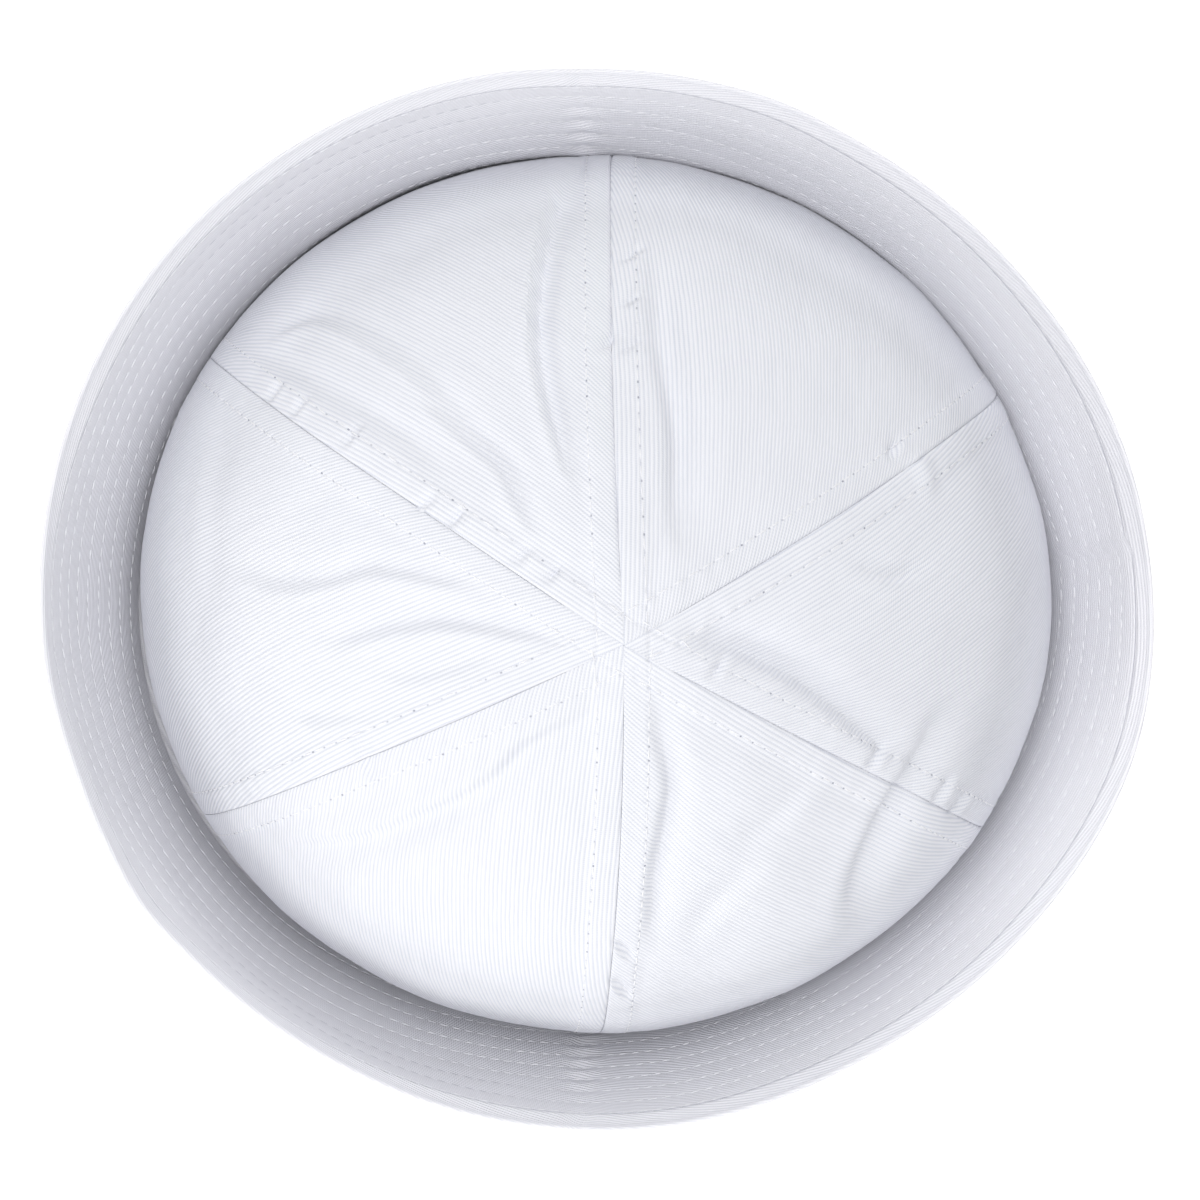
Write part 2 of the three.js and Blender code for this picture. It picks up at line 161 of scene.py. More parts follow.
def dome_point(azimuth, share):
    """Smooth dome: share runs from the apex (0) over the shoulder (1) to the base (2)."""
    tuck = CROWN_TUCK * np.clip(share - 1, 0, 1) ** 2
    x, y = crown_edge(azimuth, tuck)
    shoulder = CROWN_HEIGHT - DOME_RATIO * np.hypot(x, y)
    angle = np.minimum(share, 1.0) * pi / 2
    over = shoulder + (CROWN_HEIGHT - shoulder) * np.cos(angle)
    wall = shoulder + (CROWN_LOW - shoulder) * (share - 1)
    z = np.where(share > 1, wall, over)
    return np.stack([x * np.sin(angle) + APEX[0], y * np.sin(angle) + APEX[1], z], axis=-1)


def dome_normal(azimuth, share):
    turn, slide = 2.0, 0.02
    inner = np.clip(share, 0.03, 2 - slide)
    across = dome_point(azimuth + turn, inner) - dome_point(azimuth - turn, inner)
    down = dome_point(azimuth, inner + slide) - dome_point(azimuth, inner - slide)
    normal = np.cross(down, across)
    return normal / np.linalg.norm(normal, axis=-1, keepdims=True)


def direction_from_apex(azimuth):
    x, y = crown_edge(azimuth)
    return np.arctan2(y, x)


def seam_azimuth(seam, share):
    """Where a seam runs. It swings a little on its way down, and no hand sews it quite straight."""
    waver = 0.12 * np.sin(9 * share + seam["azimuth"]) * smoothstep(share, 0.1, 0.4)
    return seam["azimuth"] + seam["swing"] * (1 - np.minimum(share, 1.0)) + waver


def turned(angle):
    """An angle brought to between -pi and pi."""
    return np.mod(angle + pi, tau) - pi


def stitch_count(share):
    return STITCHES_TO_SHOULDER * np.minimum(share, 1) + STITCHES_ON_WALL * np.clip(share - 1, 0, 1)


def through_seam(first, azimuth, share):
    """Three seams run right across the crown. Distance from one, and stitches counted along it."""
    x, y = crown_edge(azimuth)
    reach = np.hypot(x, y) * np.sin(np.minimum(share, 1.0) * pi / 2)
    direction = np.arctan2(y, x)
    ahead = turned(direction - direction_from_apex(seam_azimuth(SEAMS[first], share)))
    behind = turned(direction - direction_from_apex(seam_azimuth(SEAMS[first + 3], share)))
    on_first = np.abs(ahead) < pi / 2
    distance = np.where(on_first, reach * np.sin(ahead), -reach * np.sin(behind))
    along = stitch_count(share) * np.where(on_first, np.cos(ahead), -np.cos(behind))
    return distance, along


def smooth_line(points, parts=4):
    """A line through a few points, rounded into short legs."""
    ends = [points[0], *points, points[-1]]
    line = []
    for a, b, c, d in zip(ends, ends[1:], ends[2:], ends[3:]):
        for part in range(parts):
            t = part / parts
            line.append([
                q + 0.5 * t * (r - p + t * (2 * p - 5 * q + 4 * r - s + t * (3 * (q - r) + s - p)))
                for p, q, r, s in zip(a, b, c, d)
            ])
    return [*line, list(points[-1])]


def crease_height(x, y):
    """What all the creases and puckers add to the height of the cloth."""
    height = np.zeros_like(x)
    creases = [(crease, CREASE_DEPTH) for crease in CREASES]
    puckers = [(dict(PUCKER, line=line), 1.0) for line in PUCKERS]
    for crease, deeper in creases + puckers:
        line = smooth_line(crease["line"])
        nearest = np.full_like(x, 1e9)
        side = np.zeros_like(x)
        along = np.zeros_like(x)
        for leg, ((ax, ay), (bx, by)) in enumerate(zip(line, line[1:])):
            dx, dy = bx - ax, by - ay
            length = hypot(dx, dy)
            t = np.clip(((x - ax) * dx + (y - ay) * dy) / length ** 2, 0, 1)
            distance = np.hypot(x - ax - t * dx, y - ay - t * dy)
            closer = distance < nearest
            side = np.where(closer, (dx * (y - ay) - dy * (x - ax)) / length, side)
            along = np.where(closer, (leg + t) / (len(line) - 1), along)
            nearest = np.minimum(nearest, distance)
        half = crease["half"]
        gentle = 0.5 + 0.5 * np.tanh(side / (0.3 * half))
        fade = np.sqrt(np.sin(pi * (0.03 + 0.94 * along)))
        dent = gentle * bump(nearest, half) + (1 - gentle) * bump(nearest, half * crease["steep"])
        lip = (1 - gentle) * bump(nearest - 1.5 * half * crease["steep"], half * 0.7)
        height += deeper * fade * (crease["lip"] * lip - crease["depth"] * dent)
    return height


def swell_height(x, y):
    height = np.zeros_like(x)
    for wave in SWELLS:
        turn = radians(wave["heading"])
        across = x * np.cos(turn) + y * np.sin(turn)
        height += wave["height"] * np.sin(tau * across / wave["length"] + wave["start"])
    return height


def crown_relief(azimuth, share, rows=True):
    """Height of the cloth over the smooth dome, and for each pair of rows its marks for the
    material: distance from the row, stitches along it, and how much shade is painted on its needle holes."""
    point = dome_point(azimuth, share)
    calm = smoothstep(point[..., 2], FLAT_BELOW, CREASED_ABOVE)
    flat = np.ones_like(share)
    relief = np.zeros_like(share)
    marks = []
    for first in range(3):
        distance, along = through_seam(first, azimuth, share)
        away = np.abs(distance)
        flat *= smoothstep(away, BAND - BAND_CALM, BAND + BAND_FREE)
        pull = 0.55 + 0.45 * np.sin(0.37 * along + first)
        ripple = np.sin(tau * along / 1.9 + 1.3 * np.sin(0.9 * along) + np.sign(distance))
        relief += RIPPLE * pull * ripple * bump(away - RIPPLE_AT, 2.6)
        # Painted shade in the needle holes, stronger at some stitches than at others.
        painted_shade = 0.5 + 0.3 * np.sin(0.83 * along + 2.0 * first) + 0.2 * np.sin(2.3 * along)
        painted_shade = HOLE_SHADE * np.clip(painted_shade, 0.15, 1.0) * smoothstep(share, 0.05, 0.16)
        marks.append(np.stack([away - BAND, along, painted_shade], axis=-1))
        if rows:
            needle = np.abs(np.mod(along + 0.5, 1.0) - 0.5) * STITCH_LENGTH
            relief -= ROW_GROOVE * bump(away - BAND, 0.5)
            relief -= ROW_HOLLOW * bump(away - BAND - HOLLOW_AT, 1.6)
            relief -= NEEDLE_DEPTH * bump(away - BAND, 0.35) * bump(needle, 0.5)
    shoulder = smoothstep(share, 0.75, 1.0)
    relief += BAND_RISE * (1 - flat) * (1 - 0.9 * shoulder)
    relief += swell_height(point[..., 0], point[..., 1]) * (1 - 0.7 * shoulder)
    relief += crease_height(point[..., 0], point[..., 1])
    return relief * calm, marks


# Columns of a gore stand close together beside its seams, where the edge, the band and the
# row of stitches are, and rows at quarters of a stitch.
EDGE_COLUMNS = (SLIT, 0.18, 0.36, 0.6, 0.95, 1.5, 2.3, 3.2, 4.1, 4.7, 5.05, 5.25, 5.4, 5.55,
                5.8, 6.2, 6.8, 7.6, 8.6)
MIDDLE_COLUMNS = 42
TIP_ROWS = 40
TIP_STITCHES = 4


def gore_shares():
    reach = hypot(*crown_edge(0.0))
    tip = TIP / (reach * pi / 2)
    low = TIP_STITCHES / STITCHES_TO_SHOULDER
    over = (STITCHES_TO_SHOULDER - TIP_STITCHES) * ROWS_IN_STITCH
    near = np.linspace(tip, low, TIP_ROWS, endpoint=False)
    far = np.linspace(low, 1.0, over, endpoint=False)
    return np.concatenate([near, far, np.linspace(1.0, 2.0, 12)])


def cloth_grid(name, points, flat, facing):
    """A grid of cloth: its points are put in place, and its UV map is the flat cloth in metres."""
    rows, columns = points.shape[:2]
    bpy.ops.object.select_all(action="DESELECT")
    bpy.ops.mesh.primitive_grid_add(x_subdivisions=columns - 1, y_subdivisions=rows - 1, size=1)
    piece = bpy.context.object
    piece.name = piece.data.name = name
    mesh = piece.data
    mesh.vertices.foreach_set("co", (points * MM).astype(np.float32).ravel())
    corners = np.empty(len(mesh.loops), dtype=np.int32)
    mesh.loops.foreach_get("vertex_index", corners)
    mesh.uv_layers[0].name = "cloth"
    mesh.uv_layers[0].data.foreach_set("uv", (flat.reshape(-1, 2)[corners] * MM).ravel())
    mesh.update()
    normals = np.empty(len(mesh.vertices) * 3)
    mesh.vertices.foreach_get("normal", normals)
    if np.sum(normals.reshape(-1, 3) * facing.reshape(-1, 3)) < 0:
        mesh.flip_normals()
    return piece


def note_rows(piece, marks):
    """Tells the material where each row of stitches runs over the cloth, and how much shade to paint along
    it.
    """
    for index, values in enumerate(marks):
        note = piece.data.attributes.new("row_%d" % index, "FLOAT_VECTOR", "POINT")
        note.data.foreach_set("vector", values.astype(np.float32).ravel())


def give_thickness(piece, thickness):
    """The cloth's other face, behind the one that shows."""
    bpy.ops.object.select_all(action="DESELECT")
    piece.select_set(True)
    bpy.context.view_layer.objects.active = piece
    wall = piece.modifiers.new("thickness", "SOLIDIFY")
    wall.thickness = thickness * MM
    wall.offset = -1
    bpy.ops.object.modifier_apply(modifier=wall.name)
    bpy.ops.object.shade_smooth_by_angle(angle=radians(60))


def node_tree(name):
    """A new material, and a shorthand that adds a node to it with its values and links."""
    material = bpy.data.materials.new(name)
    material.use_nodes = True
    tree = material.node_tree
    tree.nodes.clear()

    def add(kind, settings=None, **inputs):
        node = tree.nodes.new(kind)
        for key, value in (settings or {}).items():
            setattr(node, key, value)
        for key, value in inputs.items():
            socket = node.inputs[int(key[1:])] if key[0] == "_" else node.inputs[key.replace("_", " ")]
            if isinstance(value, bpy.types.NodeSocket):
                tree.links.new(value, socket)
            else:
                socket.default_value = value
        return node

    return material, add


RIB = 0.00088                      # from one twill rib to the next, metres
WAVE_PERIOD = 0.314159             # of the wave texture at scale 1


def painted_row_shade(add, mark_width, mark_share):
    """Painted shade along the rows: a small dark spot on the row at each whole stitch, for the shade in a
    needle hole or on a sunk stitch; where the marks count no stitches, as along the hem, it is an unbroken
    line.
    """
    deepest_shade = 0.0
    for index in range(3):
        row = add("ShaderNodeAttribute", dict(attribute_name="row_%d" % index))
        place = add("ShaderNodeSeparateXYZ", Vector=row.outputs["Vector"])
        aside = add("ShaderNodeMath", dict(operation="ABSOLUTE"), _0=place.outputs["X"])
        on_row = add("ShaderNodeMapRange", Value=aside.outputs[0], From_Min=0.45 * mark_width,
                     From_Max=mark_width, To_Min=1.0, To_Max=0.0)
        between = add("ShaderNodeMath", dict(operation="PINGPONG"), _0=place.outputs["Y"], _1=0.5)
        at_needle = add("ShaderNodeMapRange", Value=between.outputs[0], From_Min=0.5 * mark_share,
                        From_Max=mark_share, To_Min=1.0, To_Max=0.0)
        spot = add("ShaderNodeMath", dict(operation="MULTIPLY"), _0=on_row.outputs[0],
                   _1=at_needle.outputs[0])
        strength = add("ShaderNodeMath", dict(operation="MULTIPLY"), _0=spot.outputs[0],
                       _1=place.outputs["Z"])
        deepest_shade = add("ShaderNodeMath", dict(operation="MAXIMUM"), _0=strength.outputs[0],
                      _1=deepest_shade).outputs[0]
    return deepest_shade


def twill(name, thread_colour, valley_shade_colour, rib_turn, mark_width, mark_share, rib_height=0.00009):
    """White cotton twill: diagonal ribs with the cross threads just showing between them, the valleys
    between the ribs in a darker colour that is painted shade.
    """
    material, add = node_tree(name)
    flat = add("ShaderNodeUVMap", dict(uv_map="cloth")).outputs["UV"]
    place = add("ShaderNodeTexCoord").outputs["Object"]
    ribs_way = add("ShaderNodeMapping", Vector=flat, Rotation=(0, 0, radians(rib_turn)))
    ribs = add("ShaderNodeTexWave", dict(bands_direction="X"), Vector=ribs_way.outputs[0],
               Scale=WAVE_PERIOD / RIB, Distortion=0.9, Detail=1.0, Detail_Scale=0.35)
    cross_way = add("ShaderNodeMapping", Vector=flat, Rotation=(0, 0, radians(rib_turn + 62)))
    cross = add("ShaderNodeTexWave", dict(bands_direction="X"), Vector=cross_way.outputs[0],
                Scale=WAVE_PERIOD / (RIB * 0.55), Distortion=1.4, Detail=1.0, Detail_Scale=0.6)
    slub_way = add("ShaderNodeMapping", Vector=ribs_way.outputs[0], Scale=(900.0, 60.0, 1.0))
    slub = add("ShaderNodeTexNoise", Vector=slub_way.outputs[0], Scale=1.0, Detail=2.0)
    cloud = add("ShaderNodeTexNoise", Vector=place, Scale=38.0, Detail=3.0)
    weave = add("ShaderNodeMath", dict(operation="MULTIPLY_ADD"), _0=cross.outputs["Fac"], _1=0.25,
                _2=ribs.outputs["Fac"])
    uneven = add("ShaderNodeMath", dict(operation="MULTIPLY_ADD"), _0=slub.outputs["Fac"], _1=0.5,
                 _2=weave.outputs[0])
    shown = add("ShaderNodeMapRange", Value=uneven.outputs[0], From_Min=0.25, From_Max=0.95)
    # Painted shade: the valleys of the weave take the darker valley colour.
    cloth = add("ShaderNodeMix", dict(data_type="RGBA"), _0=shown.outputs[0], _6=valley_shade_colour,
                _7=thread_colour)
    tone = add("ShaderNodeMapRange", Value=cloud.outputs["Fac"], From_Min=0.3, From_Max=0.7,
               To_Min=0.0, To_Max=0.035)
    toned = add("ShaderNodeMix", dict(data_type="RGBA"), _0=tone.outputs[0], _6=cloth.outputs[2],
                _7=(0.55, 0.54, 0.6, 1.0))
    # Painted shade of the rows' needle holes, sunk stitches and hem groove, mixed into the colour.
    painted_shade = add("ShaderNodeMix", dict(data_type="RGBA"), _0=painted_row_shade(add, mark_width, mark_share),
                  _6=toned.outputs[2], _7=(0.3, 0.31, 0.38, 1.0))
    rough = add("ShaderNodeMapRange", Value=slub.outputs["Fac"], To_Min=0.82, To_Max=0.97)
    relief = add("ShaderNodeBump", Height=uneven.outputs[0], Strength=1.0, Distance=rib_height)
    shader = add("ShaderNodeBsdfPrincipled", Base_Color=painted_shade.outputs[2],
                 Roughness=rough.outputs[0], Normal=relief.outputs[0])
    shader.inputs["Sheen Weight"].default_value = 0.15
    shader.inputs["Sheen Roughness"].default_value = 0.5
    shader.inputs["Specular IOR Level"].default_value = 0.25
    add("ShaderNodeOutputMaterial", Surface=shader.outputs[0])
    return material


# Its darker second colour is the painted shade in the valleys between the ribs.
crown_twill = twill("crown_twill", (0.875, 0.882, 0.92, 1), (0.69, 0.71, 0.78, 1), rib_turn=25.0,
                    mark_width=HOLE_WIDTH, mark_share=HOLE_SHARE)

shares = gore_shares()
for index, seam in enumerate(SEAMS):
    following = SEAMS[(index + 1) % len(SEAMS)]
    start = seam_azimuth(seam, shares)
    turn = np.mod(seam_azimuth(following, shares) - start, 360.0)
    chord = dome_point(start + turn / 2, shares) - dome_point(start, shares)
    width = 2.0 * np.linalg.norm(chord, axis=-1) * 1.01
    squeeze = np.minimum(1.0, width / (2.6 * EDGE_COLUMNS[-1]))
    sides = np.outer(squeeze, EDGE_COLUMNS)
    parted = smoothstep(shares, 0.03, 0.14) * smoothstep(shares, 0.98, 0.9)
    sides[:, 0] = np.minimum(SLIT * (0.12 + 0.88 * parted), sides[:, 1] / 2)
    spread = np.linspace(0, 1, MIDDLE_COLUMNS + 2)[1:-1]
    last = sides[:, -1:]
    middle = last + (width[:, None] - 2 * last) * spread
    places = np.concatenate([sides, middle, width[:, None] - sides[:, ::-1]], axis=1)
    azimuth = start[:, None] + turn[:, None] * places / width[:, None]
    share = np.broadcast_to(shares[:, None], azimuth.shape)
    from_edge = np.minimum(places, width[:, None] - places)
    relief, marks = crown_relief(azimuth, share)
    openness = np.where(places < width[:, None] / 2, seam["open"], following["open"])
    roll = EDGE_ROLL * bump(from_edge, 0.3) + SEAM_DIP * bump(from_edge, 0.9)
    surface = dome_point(azimuth, share)
    normal = dome_normal(azimuth, share)
    surface = surface + normal * (relief - roll * openness * parted[:, None])[..., None]
    surface[-1, :, 2] = CROWN_LOW
    middle_line = dome_point(start + turn / 2, shares)
    run = np.concatenate([[0], np.cumsum(np.linalg.norm(np.diff(middle_line, axis=0), axis=1))])
    flat = np.stack([places - width[:, None] / 2, np.broadcast_to(run[:, None], places.shape)], -1)
    gore = cloth_grid(seam["gore"] + "_cloth", surface, flat, normal)
    note_rows(gore, marks)
    give_thickness(gore, PLY)
    gore.data.materials.append(crown_twill)
    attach(gore, "root")
    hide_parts(seam["gore"])


# ---------- The seam allowances inside the crown ----------
# The gores' edges, turned in along each seam, pressed open and held flat by the topstitching.
# One strip of twill stands for the two allowances of a seam. It lies against the gores.
ALLOWANCE_COLUMNS = (-6.5, -6.3, -5.4, -3.6, -1.8, -0.5, -0.15, 0.15, 0.5, 1.8, 3.6, 5.4, 6.3, 6.5)
ALLOWANCE_PLY = 0.75
ALLOWANCE_GAP = 0.06               # between the strip and the gores
OPEN_SEAM = 0.35                   # how far the strip is pressed out along the seam
ALLOWANCE_ROWS = 90
ALLOWANCE_ENDS = (0.085, 1.75)     # shares of the dome


def beside_seam(seam, share, distance):
    """Azimuth of a place at a distance to one side of a seam."""
    x, y = crown_edge(seam_azimuth(seam, share))
    reach = np.hypot(x, y) * np.sin(np.minimum(share, 1.0) * pi / 2)
    direction = np.arctan2(y, x) + np.arcsin(np.clip(distance / reach, -0.99, 0.99))
    round_hat = np.linspace(-40.0, 400.0, 2201)
    known = np.unwrap(direction_from_apex(round_hat))
    middle = seam["azimuth"]
    guess = np.interp(middle, round_hat, known)
    return np.interp(guess + turned(direction - guess), known, round_hat)


for seam in SEAMS:
    run = np.linspace(*ALLOWANCE_ENDS, ALLOWANCE_ROWS)
    across = np.array(ALLOWANCE_COLUMNS)
    share, distance = np.meshgrid(run, across, indexing="ij")
    azimuth = beside_seam(seam, share, distance)
    relief, _ = crown_relief(azimuth, share, rows=False)
    open_seam = OPEN_SEAM * bump(distance, 0.3)
    normal = dome_normal(azimuth, share)
    depth = relief - PLY - ALLOWANCE_GAP - ALLOWANCE_PLY + open_seam
    surface = dome_point(azimuth, share) + normal * depth[..., None]
    flat = np.stack([distance, share * 150.0], axis=-1)
    strip = cloth_grid("seam_allowance_at_%d" % round(seam["azimuth"]), surface, flat, -normal)
    give_thickness(strip, ALLOWANCE_PLY)
    strip.data.materials.append(crown_twill)
    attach(strip, "root")


# ---------- The topstitching of the crown ----------
# White cotton thread in two rows along each seam, one on either side. The three pairs of rows
# run right across the crown and cross near the apex. One stitch is shaped and then repeated.
STITCH_SIDES = 6
STITCH_RINGS = 4
STITCH_GAP = 0.2                   # share of the stitch length that lies in the needle hole
CROWN_THREAD = 0.36                # thickness of the thread
CROWN_STITCH_HEIGHT = -0.12        # the stitches lie in the groove of their row


def white_thread():
    material, add = node_tree("white_thread")
    place = add("ShaderNodeTexCoord").outputs["Object"]
    ply = add("ShaderNodeTexNoise", Vector=place, Scale=2600.0, Detail=2.0)
    colour = add("ShaderNodeMix", dict(data_type="RGBA"), _0=ply.outputs["Fac"],
                 _6=(0.84, 0.84, 0.87, 1), _7=(0.93, 0.93, 0.95, 1))
    relief = add("ShaderNodeBump", Height=ply.outputs["Fac"], Strength=0.6, Distance=0.00005)
    shader = add("ShaderNodeBsdfPrincipled", Base_Color=colour.outputs[2], Normal=relief.outputs[0])
    shader.inputs["Roughness"].default_value = 0.55
    shader.inputs["Sheen Weight"].default_value = 0.2
    add("ShaderNodeOutputMaterial", Surface=shader.outputs[0])
    return material


def one_stitch():
    """A stitch of length, width and height 1: a bead drawn out along x, its ends bent down."""
    bpy.ops.object.select_all(action="DESELECT")
    bpy.ops.mesh.primitive_uv_sphere_add(segments=STITCH_SIDES, ring_count=STITCH_RINGS,
                                         radius=0.5, rotation=(0, pi / 2, 0))
    bead = bpy.context.object
    bpy.ops.object.transform_apply(location=True, rotation=True, scale=True)
    shape = np.array([v.co for v in bead.data.vertices])
    faces = [list(f.vertices) for f in bead.data.polygons]
    bpy.ops.object.delete()
    shape[:, 2] -= 1.1 * (2 * shape[:, 0]) ** 4
    return shape, faces


stitch_shape, stitch_faces = one_stitch()


def sew(name, starts, ends, ups, thickness):
    """Lays one stitch from each start to each end, on the side of the cloth that ups point to."""
    along = ends - starts
    length = np.linalg.norm(along, axis=-1, keepdims=True)
    along = along / length
    side = np.cross(ups, along)
    side /= np.linalg.norm(side, axis=-1, keepdims=True)
    up = np.cross(along, side)
    middle = (starts + ends) / 2
    points = (middle[:, None]
              + stitch_shape[None, :, :1] * (along * length)[:, None]
              + stitch_shape[None, :, 1:2] * thickness * side[:, None]
              + stitch_shape[None, :, 2:3] * thickness * up[:, None])
    count = len(stitch_shape)
    faces = [[v + k * count for v in face] for k in range(len(starts)) for face in stitch_faces]
    mesh = bpy.data.meshes.new(name)
    mesh.from_pydata((points.reshape(-1, 3) * MM).tolist(), [], faces)
    mesh.shade_smooth()
    mesh.materials.append(thread_material)
    piece = bpy.data.objects.new(name, mesh)
    bpy.context.collection.objects.link(piece)
    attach(piece, "root")
    return piece


def crown_share(count):
    """The share of the dome at a count of stitches from the apex."""
    on_wall = 1 + (count - STITCHES_TO_SHOULDER) / STITCHES_ON_WALL
    return np.where(count > STITCHES_TO_SHOULDER, on_wall, count / STITCHES_TO_SHOULDER)


def row_point(first, count, distance, height):
    """A place on a row that runs across the crown. The count is negative beyond the apex."""
    seam = [SEAMS[first] if c >= 0 else SEAMS[first + 3] for c in count]
    steps = np.abs(count)
    straight = crown_share(steps)
    points, normals = [], []
    for s, seam_here, forward in zip(straight, seam, count >= 0):
        offset = distance if forward else -distance
        x, y = crown_edge(seam_azimuth(seam_here, s))
        edge = hypot(x, y)
        reach = edge * np.sin(min(s, 1.0) * pi / 2)
        widened = np.hypot(reach, offset)
        if s < 0.25:
            turn = np.arctan2(offset, reach)
            share = np.arcsin(widened / edge) / (pi / 2)
        else:
            turn = np.arcsin(offset / reach)
            share = s
        direction = direction_from_apex(seam_azimuth(seam_here, share)) + turn
        azimuth = azimuth_towards(direction)
        points.append((azimuth, share))
    azimuth, share = np.array(points).T
    relief, _ = crown_relief(azimuth, share, rows=False)
    normal = dome_normal(azimuth, share)
    return dome_point(azimuth, share) + normal * (relief + height)[:, None], normal


ROUND_HAT = np.linspace(-360.0, 720.0, 5401)
KNOWN_DIRECTIONS = np.unwrap(direction_from_apex(ROUND_HAT))


def azimuth_towards(direction):
    """The azimuth of the crown's outline that lies in a direction from the apex."""
    return np.interp(np.mod(direction, tau), KNOWN_DIRECTIONS, ROUND_HAT)


thread_material = white_thread()
ROW_END = 48
for first, way in enumerate(("back_right_to_front_left", "back_to_front", "back_left_to_front_right")):
    starts, ends, ups = [], [], []
    for distance in (-BAND, BAND):
        counts = np.arange(-ROW_END, ROW_END)
        begin, normal = row_point(first, counts + STITCH_GAP / 2, distance, CROWN_STITCH_HEIGHT)
        finish, _ = row_point(first, counts + 1 - STITCH_GAP / 2, distance, CROWN_STITCH_HEIGHT)
        starts.append(begin)
        ends.append(finish)
        ups.append(normal)
    sew("crown_topstitching_" + way, *(np.concatenate(a) for a in (starts, ends, ups)), CROWN_THREAD)


# ---------- The outer ply of the brim ----------
# Two halves of twill, joined at the back and the front. Each stands on the fold between crown
# and brim, with its lower edge turned up inside the crown, and its upper edge rolls over the
# rim as the hem. Nine rows of stitching hold it to the facing.
BRIM_HEIGHT = 64.0
HEM_BOTTOM = 58.3
HEM_EDGE = 58.42
# The hem on the side towards the crown: heights, and how far the cloth stands proud there.
HEM_INSIDE = ((61.6, 0.05), (60.4, 0.18), (59.2, 0.32), (58.75, 0.34), (58.58, 0.27), (58.48, 0.1),
              (HEM_EDGE, -0.35))
HALF_WALL = 0.65                   # from the middle of the brim's wall to either face
FOLD_RISE = 1.6                    # the rim is a pressed fold, higher than it is wide,
FOLD_SKEW = 0.3                    # and its top lies towards the outside
RIM_LOW = BRIM_HEIGHT - FOLD_RISE
BRIM_PLY = 0.58
FOOT_WIDTH = 1.3
LIP_HEIGHT = 9.0
LIP_INSIDE = 2.5                   # from the crown's outer face to the lip's inner face
RIM_RADII = (120.6, 118.0, 115.1, 114.0, 114.6, 115.9, 117.5, 119.3, 120.2,
             120.1, 119.1, 116.9, 114.8, 114.5, 114.8, 114.8, 117.0, 120.2)
RIM_DENTS = (                      # small bulges and dents of the soft rim
    dict(azimuth=3, reach=-0.6, half=9), dict(azimuth=70, reach=0.5, half=6),
    dict(azimuth=92, reach=-0.6, half=7), dict(azimuth=198, reach=-0.75, half=8),
    dict(azimuth=214, reach=0.8, half=5), dict(azimuth=344, reach=0.3, half=6),
)
# The wall stands against the crown, then leans out, and on the left stands up again below the
# rim. How far it leans out for each unit of height, and how far outside the rim's outline the
# leaning part would be by the height of the rim.
BRIM_LEAN = (0.39, 0.44, 0.43, 0.395, 0.38, 0.38, 0.35, 0.325, 0.31,
             0.304, 0.303, 0.302, 0.31, 0.33, 0.35, 0.38, 0.41, 0.42)
LEAN_REACH = (-2.5, -2.1, -1.8, -1.9, -1.3, -0.9, -0.7, -0.35, 0.3,
              1.5, 1.75, 1.45, 0.5, -1.1, -1.7, -1.7, -1.65, -1.85)
BEND = 0.25                        # how softly one part passes into the next
FOLD_BEND = 0.2                    # the same where the wall leaves the crown
OUTER_BEND = 2.0                   # and for the outer ply there, which bridges the fold
UPRIGHT_LEAN = 0.2
# How far the hem leans out for each unit of height where the wall below it stands up.
HEM_LEAN = (0.52, 0.52, 0.52, 0.52, 0.52, 0.52, 0.52, 0.52, 0.5,
            0.12, 0.22, 0.22, 0.26, 0.48, 0.52, 0.52, 0.52, 0.52)
CROWN_GAP = -0.6                   # the wall presses into the crown's soft side,
GAP_ON_LEFT = 1.0                  # but not on the left,
LEFT_AT = 168.0                    # whose middle is at this azimuth
FLARE_LOW = 55.5                   # height from which the hem leans out to meet the rim
DENTS_LOW, DENTS_FULL = 44.0, 60.0   # heights between which the rim's dents grow
LIP_CORNER = 0.8                   # radii of the cloth's turns at the lip and at the foot
FOOT_CORNER = 0.9
FOOT_CURVE = 12.0                  # height up to which the wall follows the crown's tuck
ROW_COUNT = 9
LOWEST_ROW = 7.3
ROW_SPACING = 6.2
ROW_HEIGHTS = tuple(round(LOWEST_ROW + ROW_SPACING * row, 1) for row in range(ROW_COUNT))
PUFF = 0.04
ROW_DIP = 0.025
ROW_GROOVE_DEPTH = 0.03
RIB_DRIFT = 0.3                    # how the cut turns the ribs along the rim, for each unit of x
BRIM_HALVES = (dict(name="left", begin=92.0, end=269.0), dict(name="right", begin=269.0, end=452.0))
JOINS = (91.6, 268.2)
ROW_STEP_AT = 5.9                  # azimuth where the rows of stitching start and end
ROW_STEP_HALF = 0.8                # degrees to either side that the step takes up
# How far the hem's row ends above its height and starts below it, and how much more or less
# each row further down does so. From the row at LAST_CLIMB on, they all do the same.
ROW_END_RISE, ROW_END_CLIMB = 0.6, 1.28
ROW_START_DROP, ROW_START_EASE = 1.15, 0.3
LAST_CLIMB = 4.2


def softplus(value, bend):
    """0 for low values, the value itself for high ones, with a soft bend between."""
    return bend * np.logaddexp(0.0, value / bend)


def degrees_from(azimuth, place):
    """Degrees from a place round the hat, with the sign of the side."""
    return np.mod(azimuth - place + 180.0, 360.0) - 180.0


def rim_dents(azimuth):
    reach = 0.0
    for dent in RIM_DENTS:
        reach = reach + dent["reach"] * bump(degrees_from(azimuth, dent["azimuth"]), dent["half"])
    return reach


